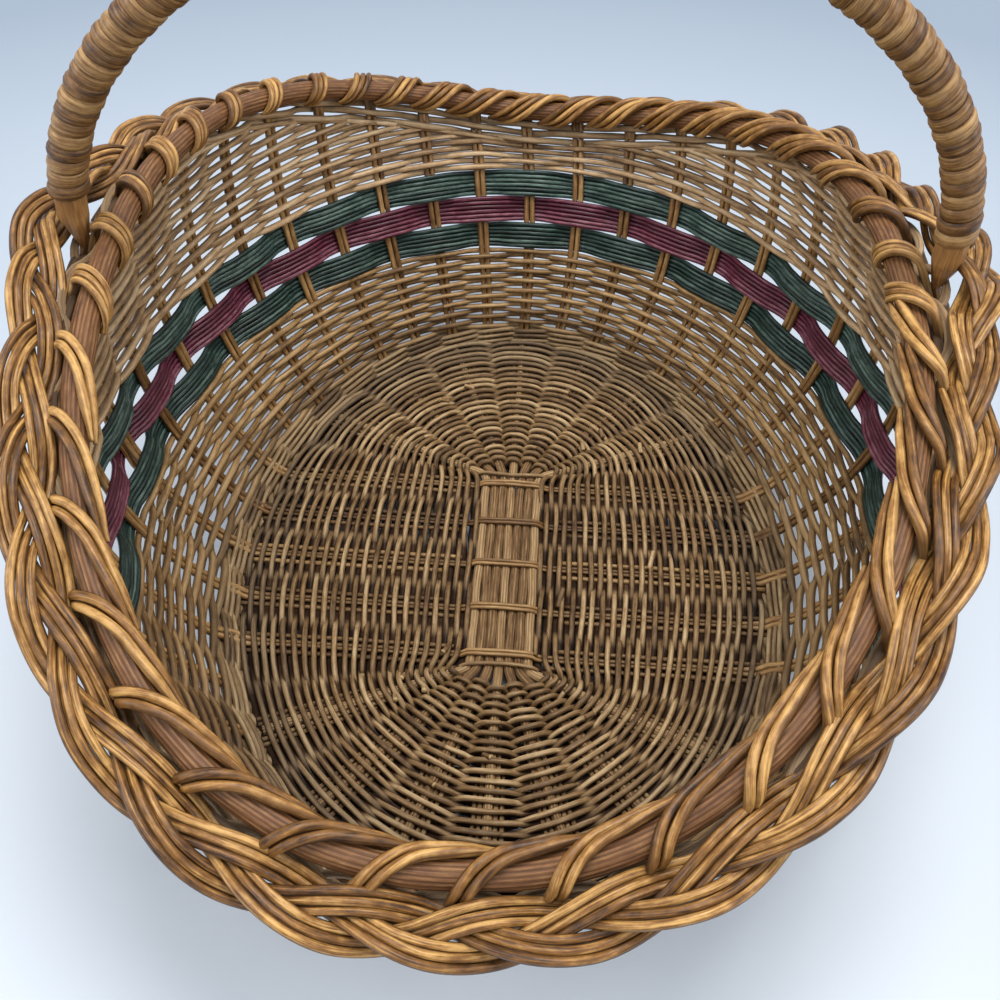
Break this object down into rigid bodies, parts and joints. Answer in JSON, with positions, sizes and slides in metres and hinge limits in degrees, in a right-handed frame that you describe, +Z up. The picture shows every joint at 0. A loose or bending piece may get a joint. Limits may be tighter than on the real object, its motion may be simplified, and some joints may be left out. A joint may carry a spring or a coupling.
{
  "type": "harvest basket",
  "caption": "Oval woven rattan harvest basket with a saddle-shaped plaited rim, green and burgundy bands and a fixed hoop handle wrapped in cane.",
  "frame": {"origin": "on the ground under the middle of the basket's overall box", "axes": "+Z up, +Y along the basket's long axis to the end that is farther away in the picture, +X to the picture's right; the handle spans X"},
  "size_m": [0.3766, 0.489, 0.3327],
  "materials": {
    "base_rattan": "dull, dusty",
    "stick_rattan": "dull, dusty",
    "stake_rattan": "satin varnish",
    "wall_rattan": "satin varnish",
    "green_dyed_rattan": "satin dyed",
    "burgundy_dyed_rattan": "satin dyed",
    "rim_core": "satin stain",
    "plait_rattan": "satin varnish",
    "handle_cane": "satin varnish"
  },
  "bodies": {
    "root": {"foot_wale": "base_rattan", "base_long_stick_1": "stick_rattan", "base_long_stick_2": "stick_rattan", "base_long_stick_3": "stick_rattan", "base_long_stick_4": "stick_rattan", "base_long_stick_5": "stick_rattan", "base_long_stick_6": "stick_rattan", "base_long_stick_7": "stick_rattan", "cross_stake_1": "stake_rattan", "cross_stake_2": "stake_rattan", "cross_stake_3": "stake_rattan", "cross_stake_4": "stake_rattan", "cross_stake_5": "stake_rattan", "base_weaver_1": "base_rattan", "base_weaver_2": "base_rattan", "end_stake_01": "stake_rattan", "end_stake_02": "stake_rattan", "end_stake_03": "stake_rattan", "end_stake_04": "stake_rattan", "end_stake_05": "stake_rattan", "end_stake_06": "stake_rattan", "end_stake_07": "stake_rattan", "end_stake_08": "stake_rattan", "end_stake_09": "stake_rattan", "end_stake_10": "stake_rattan", "end_stake_11": "stake_rattan", "end_stake_12": "stake_rattan", "end_stake_13": "stake_rattan", "end_stake_14": "stake_rattan", "end_stake_15": "stake_rattan", "end_stake_16": "stake_rattan", "end_stake_17": "stake_rattan", "end_stake_18": "stake_rattan", "end_stake_19": "stake_rattan", "end_stake_20": "stake_rattan", "end_stake_21": "stake_rattan", "end_stake_22": "stake_rattan", "end_stake_23": "stake_rattan", "end_stake_24": "stake_rattan", "end_stake_25": "stake_rattan", "end_stake_26": "stake_rattan", "end_stake_27": "stake_rattan", "end_stake_28": "stake_rattan", "end_stake_29": "stake_rattan", "end_stake_30": "stake_rattan", "lower_weaver_1": "wall_rattan", "lower_weaver_2": "wall_rattan", "lower_green_band": "green_dyed_rattan", "burgundy_band": "burgundy_dyed_rattan", "upper_green_band": "green_dyed_rattan", "upper_weaver_1": "wall_rattan", "upper_weaver_2": "wall_rattan", "rim_hoop": "rim_core", "plait_strand_1": "plait_rattan", "plait_strand_2": "plait_rattan", "plait_strand_3": "plait_rattan", "handle_core": "stick_rattan", "handle_wrap": "handle_cane"}
  },
  "joints": []
}
